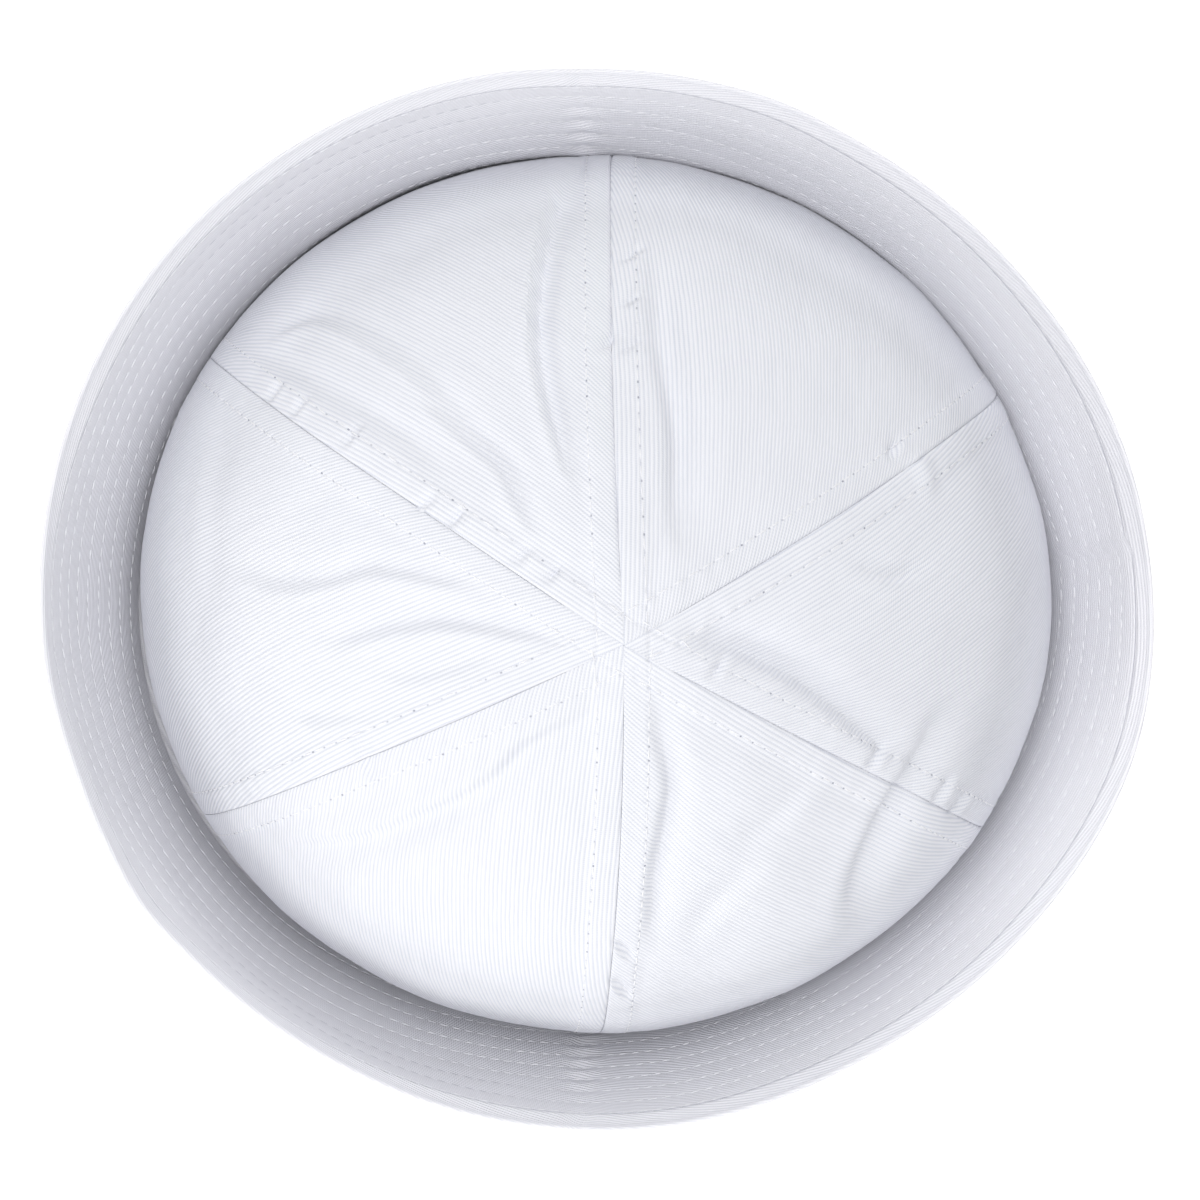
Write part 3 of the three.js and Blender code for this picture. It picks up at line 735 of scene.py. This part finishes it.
def brim_radius(azimuth, height, fold_bend=FOLD_BEND):
    """Radius of the middle of the brim's wall."""
    rim = closed_curve(RIM_RADII, azimuth)
    lean = closed_curve(BRIM_LEAN, azimuth) * (RIM_LOW - height)
    out = closed_curve(LEAN_REACH, azimuth)
    flare = np.maximum(-out - 2 * HALF_WALL, 0.0) * smoothstep(height, FLARE_LOW, RIM_LOW)
    leaning = rim + out - lean + flare
    below_hem = np.maximum(HEM_BOTTOM - height, 0.0)
    hem = closed_curve(HEM_LEAN, azimuth) * (RIM_LOW - height - below_hem)
    upright = rim - 2 * HALF_WALL - hem - UPRIGHT_LEAN * below_hem
    inner = leaning - softplus(leaning - upright, BEND)
    tuck = (CROWN_TUCK - 0.05) * np.clip(1 - height / FOOT_CURVE, 0, 1) ** 2
    on_left = smoothstep(np.cos(np.radians(azimuth - LEFT_AT)), 0.1, 0.6)
    gap = CROWN_GAP + GAP_ON_LEFT * on_left
    against = closed_curve(CROWN_RADII, azimuth) + gap - tuck
    dents = rim_dents(azimuth) * smoothstep(height, DENTS_LOW, DENTS_FULL)
    return against + softplus(inner - against, fold_bend) + HALF_WALL + dents


def stand_off(azimuth, height):
    """How far the outer ply stands off the wall as it bridges the fold beside the crown."""
    return brim_radius(azimuth, height, OUTER_BEND) - brim_radius(azimuth, height)


def row_drift(azimuth, height):
    """The hem and the rows were sewn in one round. They waver, and their ends don't quite meet:
    towards its end, each row climbs towards the one above."""
    past = degrees_from(azimuth, ROW_STEP_AT)
    row = np.clip((HEM_BOTTOM - height) / ROW_SPACING, 0.0, LAST_CLIMB)
    end = (ROW_END_RISE + ROW_END_CLIMB * row) * np.exp(past / 12.0)
    start = (ROW_START_EASE * row - ROW_START_DROP) * np.exp(-past / 14.0)
    step = np.where(past < 0, end, start) * smoothstep(np.abs(past), 0.0, ROW_STEP_HALF)
    turn = np.radians(azimuth)
    return step + 0.14 * np.sin(3 * turn + 0.6) + 0.1 * np.sin(8 * turn + 2.0)


def drifted(azimuth, height):
    """Height of a line of the cloth that is carried along with the rows."""
    carried = smoothstep(height, 2.5, 7.0) * smoothstep(height, RIM_LOW, 57.0)
    return height + row_drift(azimuth, height) * carried


def from_join(azimuth):
    """Degrees to the nearer join between the halves, with the sign of the side."""
    gaps = [degrees_from(azimuth, join) for join in JOINS]
    return np.where(np.abs(gaps[0]) < np.abs(gaps[1]), gaps[0], gaps[1])


def brim_relief(azimuth, height):
    """Height of the cloth over the wall's face: swollen between the rows, drawn in along them,
    and most of all at the two joins, where there is more cloth under the rows."""
    rows = np.interp(height, ROW_HEIGHTS, np.arange(len(ROW_HEIGHTS)))
    between = np.abs(np.sin(pi * rows))
    in_row = bump(np.mod(rows + 0.5, 1) - 0.5, 0.08) * smoothstep(height, 3.0, 6.0)
    below_hem = smoothstep(height, HEM_BOTTOM + 0.5, HEM_BOTTOM - 0.5)
    swelling = PUFF * between ** 0.8 - ROW_DIP * (1 - between) - ROW_GROOVE_DEPTH * in_row
    apart = from_join(azimuth)
    sag = rows + 0.12 - 0.22 * bump(apart, 1.6)
    bunched = 0.5 * (0.35 - np.cos(tau * sag)) * bump(apart, 1.9)
    bunched *= 0.25 + 0.75 * smoothstep(height, 52.0, 34.0)
    ripple = 0.03 * np.sin(radians(1) * azimuth * 131 + 1.7 * np.sin(0.8 * height)) * between
    return (swelling + (bunched + ripple) * smoothstep(height, 3.0, 9.0)) * below_hem


def pulled_in(azimuth, height):
    """Where the thread was pulled tight: there the stitches lie deep, and shade is painted on them as dark
    dashes.
    """
    tight = bump(degrees_from(azimuth, 121.0), 20.0) + bump(degrees_from(azimuth, 241.0), 20.0)
    return smoothstep(tight, 0.1, 0.6) * smoothstep(height, 37.0, 44.0) * smoothstep(height, 56.0, 52.0)


def rim_wave(azimuth):
    """The soft rim is not quite level."""
    turn = np.radians(azimuth)
    return 0.5 * np.sin(2 * turn + 0.8) + 0.35 * np.sin(5 * turn + 2.2)


def brim_point(azimuth, height, offset, relief=0.0):
    """Radius and height of a place beside the middle of the wall."""
    slope = (brim_radius(azimuth, height + 1) - brim_radius(azimuth, height - 1)) / 2
    size = np.hypot(1, slope)
    reach = brim_radius(azimuth, height)
    out = offset + relief
    up = height - out * slope / size
    return reach + out / size, up + rim_wave(azimuth) * smoothstep(up, 10.0, BRIM_HEIGHT)


def half_azimuths(half, steps):
    """Even steps round a half, closer together at its two joins."""
    ends = np.array((0.002, 0.15, 0.3, 0.5))
    low, high = half["begin"] + ends[-1], half["end"] - ends[-1]
    middle = np.linspace(low, high, steps)[1:-1]
    return np.concatenate([half["begin"] + ends, middle, half["end"] - ends[::-1]])


def wall_heights(low, high):
    """Heights up the wall, closer together at the rows of stitching."""
    places = [row + k for row in ROW_HEIGHTS for k in (-0.5, 0.0, 0.5)]
    for lower, upper in zip(ROW_HEIGHTS, ROW_HEIGHTS[1:]):
        places += list(np.linspace(lower + 0.5, upper - 0.5, 5)[1:-1])
    places += list(np.arange(2.0, 6.0, 1.0))
    return np.array(sorted({round(float(p), 3) for p in places if low < p < high}))


def swept_cloth(name, azimuths, radii, heights):
    """Cloth carried round the hat along a section given at each azimuth."""
    turn = np.radians(azimuths)[:, None]
    points = np.stack([radii * np.cos(turn), radii * np.sin(turn), heights], axis=-1)
    steps = np.linalg.norm(np.diff(points, axis=1), axis=-1)
    run = np.concatenate([np.zeros((len(azimuths), 1)), np.cumsum(steps, axis=1)], axis=1)
    middle = (azimuths[0] + azimuths[-1]) / 2
    ribs = run + RIB_DRIFT * points[..., 0]
    flat = np.stack([np.radians(azimuths - middle)[:, None] * radii, ribs], axis=-1)
    across = np.diff(points, axis=1, append=points[:, -1:] * 2 - points[:, -2:-1])
    round_hat = np.stack([-np.sin(turn), np.cos(turn), 0 * turn], axis=-1)
    facing = np.cross(round_hat, across)
    return cloth_grid(name, points, flat, facing)


BRIM_STITCH = 1.62                 # degrees of azimuth to a stitch
ROW_SHIFT = 0.37                   # degrees from the stitches of a row to those of the next
DASH_WIDTH = 0.36
DASH_SHARE = 0.36
# How much shade is painted on the stitches that lie deep.
DASH_SHADE = 0.3
HEM_SHADE = 0.4                    # how much shade is painted along the hem's edge and in the groove beside it
HEM_GROOVE_AT = 57.45
HEM_GROOVE = 0.12
# The same twill as the crown's, given lighter colours than the crown's: painted light that brightens the
# brim's shaded wall. Its darker second colour is painted shade between the ribs.
brim_twill_painted_lighter = twill("brim_twill_painted_lighter", (0.94, 0.936, 0.965, 1), (0.83, 0.826, 0.872, 1), rib_turn=90.0,
                   mark_width=DASH_WIDTH, mark_share=DASH_SHARE)
BRIM_STEPS = 304


def hem_shade(azimuth):
    """How much shade is painted along the hem's edge and in the groove beside it. It fades where the hem's
    ends meet.
    """
    return HEM_SHADE * smoothstep(np.abs(degrees_from(azimuth, ROW_STEP_AT)), 0.4, 1.8)


def outer_section(azimuth):
    """The outer ply from the top of the lip, under the crown, up the outside and over the rim."""
    base = closed_curve(CROWN_RADII, azimuth) - CROWN_TUCK
    even = np.zeros_like(azimuth)
    radii, heights, marks = [], [], []

    def station(radius, height, from_edge=9.0):
        radii.append(radius + even)
        heights.append(height + even)
        marks.append(np.stack([from_edge + even, even, hem_shade(azimuth)], axis=-1))

    lip = base - LIP_INSIDE
    for height in (LIP_HEIGHT, 8.6, 7.0, 5.5, 4.0, 2.6, 1.4, 0.8):
        station(lip, height)
    for turn in (20, 45, 70, 90):
        along, down = 1 - np.cos(radians(turn)), 1 - np.sin(radians(turn))
        station(lip + LIP_CORNER * along, LIP_CORNER * down)
    station(base - 0.6, 0.0)
    corner = base + FOOT_WIDTH - FOOT_CORNER
    for turn in (0, 30, 60, 85):
        station(corner + FOOT_CORNER * np.sin(radians(turn)), FOOT_CORNER * (1 - np.cos(radians(turn))))
    for height in [*wall_heights(1.6, HEM_BOTTOM), *np.linspace(HEM_BOTTOM, RIM_LOW, 5)[:-1]]:
        level = drifted(azimuth, height)
        relief = brim_relief(azimuth, height) + stand_off(azimuth, level)
        station(*brim_point(azimuth, level, HALF_WALL, relief))
    for turn in range(0, 181, 20):
        aside = HALF_WALL * np.cos(radians(turn)) + FOLD_SKEW * np.sin(radians(turn))
        radius, height = brim_point(azimuth, RIM_LOW, aside)
        station(radius, height + FOLD_RISE * np.sin(radians(turn)))
    # The hem's rounded edge, marked for the painted shade along it.
    for height, proud in HEM_INSIDE:
        place = brim_point(azimuth, drifted(azimuth, height), -HALF_WALL - proud)
        station(*place, from_edge=height - HEM_EDGE)
    return np.array(radii).T, np.array(heights).T, np.stack(marks, axis=1)


for half in BRIM_HALVES:
    azimuths = half_azimuths(half, BRIM_STEPS)
    radii, heights, marks = outer_section(azimuths)
    outer = swept_cloth("brim_outer_cloth_" + half["name"], azimuths, radii, heights)
    note_rows(outer, [marks])
    give_thickness(outer, BRIM_PLY)
    outer.data.materials.append(brim_twill_painted_lighter)
    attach(outer, "root")
    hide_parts("brim_outer_" + half["name"])


# ---------- The facing of the brim ----------
# The ply on the side towards the crown, two halves of the same twill. Its upper edge meets
# the hem, and its lower edge goes down into the fold beside the crown.
FACING_LOW = 2.6


def facing_section(azimuth):
    """The facing from the hem down, with the marks of its rows for the material."""
    even = np.zeros_like(azimuth)
    radii, heights, marks, groove = [], [], [], []

    def note(height):
        row = int(np.argmin(np.abs(np.array(ROW_HEIGHTS) - height)))
        stitches = (azimuth - ROW_SHIFT * row) / BRIM_STITCH
        # Painted shade on the deep-lying stitches.
        dark = DASH_SHADE * pulled_in(azimuth, height)
        from_row = abs(height - ROW_HEIGHTS[row]) + even
        from_groove = height - HEM_GROOVE_AT + even
        marks.append(np.stack([from_row, stitches, dark], axis=-1))
        groove.append(np.stack([from_groove, even, hem_shade(azimuth)], axis=-1))

    for height, tuck in ((58.15, 0.45), (58.08, 0.1), (57.9, 0.0)):
        radius, up = brim_point(azimuth, drifted(azimuth, height), -HALF_WALL + tuck)
        radii.append(radius)
        heights.append(up)
        note(height)
    for height in [57.7, HEM_GROOVE_AT, 57.2, *wall_heights(FACING_LOW + 0.2, 57.1)[::-1], FACING_LOW]:
        relief = brim_relief(azimuth, height) - HEM_GROOVE * bump(height - HEM_GROOVE_AT, 0.25)
        radius, up = brim_point(azimuth, drifted(azimuth, height), -HALF_WALL, -relief)
        radii.append(radius)
        heights.append(up)
        note(height)
    return np.array(radii).T, np.array(heights).T, [np.stack(m, axis=1) for m in (marks, groove)]


for half in BRIM_HALVES:
    azimuths = half_azimuths(half, BRIM_STEPS)
    radii, heights, marks = facing_section(azimuths)
    facing = swept_cloth("brim_facing_cloth_" + half["name"], azimuths, radii, heights)
    note_rows(facing, marks)
    give_thickness(facing, BRIM_PLY)
    facing.data.materials.append(brim_twill_painted_lighter)
    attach(facing, "root")
    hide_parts("brim_facing_" + half["name"])


# ---------- The stitching of the brim ----------
# Nine rows of white thread through both plies, seen on the outside and towards the crown.
# Each stitch lies a little across its row, so that its ends pass the next ones.
STITCH_SLANT = 0.22
STITCH_LIFT = 0.04
TOP_ROW_LIFT = 0.1                 # the hem's own row stands clear of the groove beside it
STITCH_SUNK = 0.25                 # how much deeper the tight stitches lie
STITCH_REACH = 0.45                # from a stitch's middle to its end, as a share of its spacing
BRIM_THREAD = 0.26


def sew_brim(name, side):
    starts, ends, ups = [], [], []
    for row, height in enumerate(ROW_HEIGHTS):
        azimuth = np.arange(0.0, 360.0, BRIM_STITCH) + ROW_SHIFT * row
        azimuth = azimuth[np.abs(degrees_from(azimuth, ROW_STEP_AT)) > ROW_STEP_HALF]
        reach = STITCH_REACH * BRIM_STITCH
        for places, shift, slant in ((starts, -reach, STITCH_SLANT), (ends, reach, -STITCH_SLANT)):
            turn = azimuth + shift
            level = drifted(turn, height) + slant
            relief = brim_relief(turn, height) + (stand_off(turn, level) if side > 0 else 0.0)
            lift = (STITCH_LIFT if row else TOP_ROW_LIFT) - STITCH_SUNK * pulled_in(turn, height)
            radius, up = brim_point(turn, level, side * HALF_WALL, side * (relief + lift))
            spot = np.radians(turn)
            places.append(np.stack([radius * np.cos(spot), radius * np.sin(spot), up], axis=-1))
        level = drifted(azimuth, height)
        slope = (brim_radius(azimuth, level + 1) - brim_radius(azimuth, level - 1)) / 2
        spot = np.radians(azimuth)
        ups.append(side * np.stack([np.cos(spot), np.sin(spot), -slope], axis=-1))
    sew(name, *(np.concatenate(a) for a in (starts, ends, ups)), BRIM_THREAD)


sew_brim("brim_stitching_outside", 1)
sew_brim("brim_stitching_inside", -1)


# ---------- The studio ----------
# A plain pale floor, a broad soft light overhead, weaker ones at the left, the front and the
# back, an even pale surround, and a camera straight above the hat. Metres and watts.
FLOOR_GLOW = 0.35                  # keeps the floor white in the hat's own shade
SURROUND = 0.37


def studio_floor():
    material, add = node_tree("pale_floor")
    place = add("ShaderNodeTexCoord").outputs["Object"]
    grain = add("ShaderNodeTexNoise", Vector=place, Scale=9.0, Detail=2.0)
    colour = add("ShaderNodeMix", dict(data_type="RGBA"), _0=grain.outputs["Fac"],
                 _6=(0.93, 0.93, 0.94, 1), _7=(0.96, 0.96, 0.965, 1))
    shader = add("ShaderNodeBsdfPrincipled", Base_Color=colour.outputs[2])
    shader.inputs["Roughness"].default_value = 0.9
    shader.inputs["Emission Color"].default_value = (1, 1, 1, 1)
    shader.inputs["Emission Strength"].default_value = FLOOR_GLOW
    add("ShaderNodeOutputMaterial", Surface=shader.outputs[0])
    bpy.ops.object.select_all(action="DESELECT")
    bpy.ops.mesh.primitive_plane_add(size=8, location=(0, 0, -0.0003))
    floor = bpy.context.object
    floor.name = "floor"
    floor.data.materials.append(material)


studio_floor()


def soft_light(name, location, size, power):
    bpy.ops.object.select_all(action="DESELECT")
    bpy.ops.object.light_add(type="AREA", location=location)
    lamp = bpy.context.object
    lamp.name = name
    lamp.data.size = size
    lamp.data.energy = power
    lamp.rotation_euler = lamp.location.to_track_quat("Z", "Y").to_euler()


soft_light("overhead_softbox", (0.0, 0.0, 1.9), 1.4, 18.6)
soft_light("low_left_softbox", (-1.32, -0.92, 0.6), 0.9, 7.6)
soft_light("front_softbox", (0.0, -1.4, 0.9), 1.0, 6.0)
soft_light("back_softbox", (0.0, 1.4, 0.9), 1.0, 5.8)

world = bpy.data.worlds.new("surround")
bpy.context.scene.world = world
world.use_nodes = True
world.node_tree.nodes["Background"].inputs["Color"].default_value = (0.97, 0.98, 1.0, 1)
world.node_tree.nodes["Background"].inputs["Strength"].default_value = SURROUND
bpy.context.scene.view_settings.view_transform = "Standard"

CAMERA_HEIGHT = 1.364
CAMERA_LENS = 181.1
bpy.ops.object.camera_add(location=(0.00065, 0, CAMERA_HEIGHT), rotation=(0, 0, 0))
camera = bpy.context.object
camera.data.lens = CAMERA_LENS
camera.data.sensor_width = 36.0
bpy.context.scene.camera = camera
